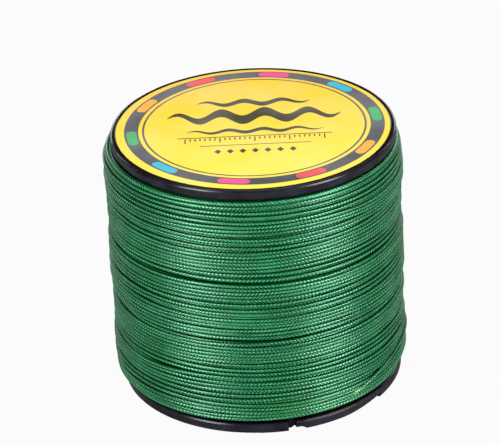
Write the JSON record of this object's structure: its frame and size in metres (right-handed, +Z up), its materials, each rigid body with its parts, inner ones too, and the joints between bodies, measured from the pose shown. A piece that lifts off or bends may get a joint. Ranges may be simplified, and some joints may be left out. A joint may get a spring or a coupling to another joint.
{
  "type": "fishing line spool",
  "caption": "Round bulk spool of green braided fishing line: black flanges with rounded rims, a label on top, and turns wound proud of the rims.",
  "frame": {"origin": "centre of the face that the lower flange stands on, on the spool's axis", "axes": "+Z up along the spool's axis from the lower flange to the label; the line notch is at the front, 10.7 degrees from -Y towards +X"},
  "size_m": [0.0622, 0.0622, 0.057],
  "materials": {
    "black_plastic": "semi-gloss moulded black",
    "hub_plastic": "plain moulded black",
    "label": "satin printed sticker",
    "tape": "thin adhesive tape",
    "line": "waxed green braid"
  },
  "bodies": {
    "root": {"lower_flange": "black_plastic", "upper_flange": "black_plastic", "hub_drum": "hub_plastic", "top_label": "label", "start_tape": "tape", "line_core": "line", "line_outer_turns": "line"}
  },
  "joints": []
}
